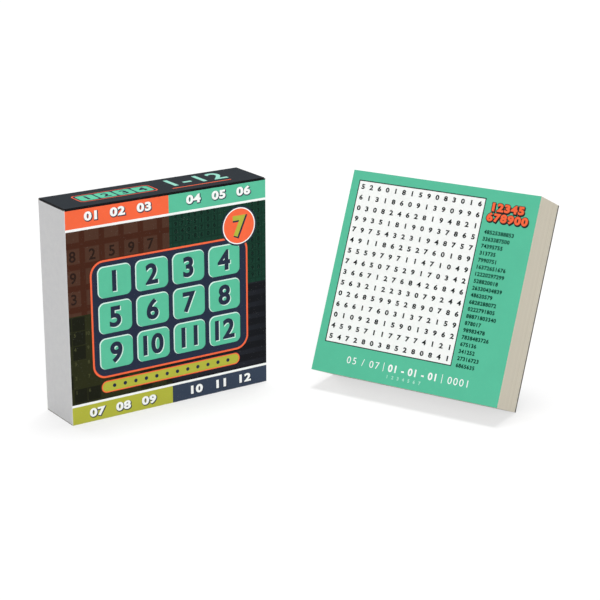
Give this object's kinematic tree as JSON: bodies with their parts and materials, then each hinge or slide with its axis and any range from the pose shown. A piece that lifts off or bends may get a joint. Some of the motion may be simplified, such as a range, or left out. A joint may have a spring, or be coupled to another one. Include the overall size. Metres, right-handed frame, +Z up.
{
  "type": "tear off day calendar",
  "caption": "Day calendar pad of tear-off leaves on a backing board with a folding easel leg, standing beside its empty tuck-top carton.",
  "frame": {"origin": "centre of the carton's underside, on the table", "axes": "+X to the right along the carton's front, +Y from its front to its back, +Z up"},
  "size_m": [0.2857, 0.1788, 0.135],
  "materials": {
    "carton_printed": "satin print",
    "carton_dark": "satin print",
    "carton_board": "matt",
    "leaf_paper": "matt",
    "leaf_teal": "matt print",
    "leaf_orange": "matt print",
    "leaf_lime": "matt print",
    "binding_glue": "soft gloss",
    "grey_board": "matt",
    "easel_board": "matt"
  },
  "bodies": {
    "carton": {"carton_front_panel": "carton_printed", "carton_back_panel": "carton_printed", "carton_left_panel": "carton_board", "carton_right_panel": "carton_board", "carton_glue_flap": "carton_board", "carton_bottom_outer": "carton_board", "carton_bottom_inner": "carton_board", "carton_bottom_dust_left": "carton_board", "carton_bottom_dust_right": "carton_board"},
    "lid": {"carton_lid_panel": "carton_dark"},
    "tuck_flap": {"carton_tuck_flap": "carton_dark"},
    "dust_flap_left": {"carton_dust_flap_left": "carton_board"},
    "dust_flap_right": {"carton_dust_flap_right": "carton_board"},
    "pad": {"backing_board": "grey_board", "leaves_january": "leaf_paper", "leaves_february": "leaf_paper", "leaves_march": "leaf_paper", "leaves_april": "leaf_paper", "leaves_may": "leaf_paper", "leaves_june": "leaf_paper", "leaves_july": "leaf_paper", "leaves_august": "leaf_paper", "leaves_september": "leaf_paper", "leaves_october": "leaf_paper", "leaves_november": "leaf_paper", "leaves_december": "leaf_paper", "binding_glue": "binding_glue", "easel_hinge_plate": "easel_board"},
    "leaf_3": {"leaf_day_3": "leaf_lime"},
    "leaf_2": {"leaf_day_2": "leaf_orange"},
    "leaf_1": {"leaf_day_1": "leaf_teal"},
    "leg": {"easel_leg": "easel_board"},
    "brace": {"easel_brace": "easel_board"}
  },
  "joints": [
    {"name": "lid_open", "type": "hinge", "parent": "carton", "child": "lid", "pos_m": [0, 0.017, 0.13455], "axis": [-1, 0, 0], "range_deg": [0, 150]},
    {"name": "tuck_flap_fold", "type": "hinge", "parent": "lid", "child": "tuck_flap", "pos_m": [0, -0.0163, 0.13455], "axis": [-1, 0, 0], "range_deg": [0, 37.5]},
    {"name": "dust_flap_left_open", "type": "hinge", "parent": "carton", "child": "dust_flap_left", "pos_m": [-0.07, 0, 0.1339], "axis": [0, -1, 0], "range_deg": [0, 90]},
    {"name": "dust_flap_right_open", "type": "hinge", "parent": "carton", "child": "dust_flap_right", "pos_m": [0.07, 0, 0.1339], "axis": [0, 1, 0], "range_deg": [0, 90]},
    {"name": "pad_move", "type": "slide", "parent": "carton", "child": "pad", "axis": [1, 0, 0], "range_m": [0, 0.1]},
    {"name": "leaf_3_lift", "type": "hinge", "parent": "pad", "child": "leaf_3", "pos_m": [0.16266, -0.08044, 0.13189], "axis": [-0.4067, 0.9135, 0], "range_deg": [0, 45]},
    {"name": "leaf_2_lift", "type": "hinge", "parent": "leaf_3", "child": "leaf_2", "pos_m": [0.16258, -0.08048, 0.13193], "axis": [-0.4067, 0.9135, 0], "range_deg": [0, 120]},
    {"name": "leaf_1_tear_off", "type": "slide", "parent": "leaf_2", "child": "leaf_1", "axis": [-0.8365, -0.3724, 0.4019], "range_m": [0, 0.08]},
    {"name": "easel_leg_fold", "type": "hinge", "parent": "pad", "child": "leg", "pos_m": [0.17638, -0.07433, 0.08924], "axis": [-0.4067, 0.9135, 0], "range_deg": [0, 41.5]},
    {"name": "easel_brace_fold", "type": "hinge", "parent": "leg", "child": "brace", "pos_m": [0.18682, -0.06969, 0.05089], "axis": [0.4067, -0.9135, 0], "range_deg": [0, 76.83]}
  ],
  "couplings": [
    {"joint": "tuck_flap_fold", "follows": "lid_open", "ratio": 0.25},
    {"joint": "dust_flap_left_open", "follows": "lid_open", "ratio": 0.6},
    {"joint": "dust_flap_right_open", "follows": "lid_open", "ratio": 0.6},
    {"joint": "easel_brace_fold", "follows": "easel_leg_fold", "ratio": 1.85}
  ]
}
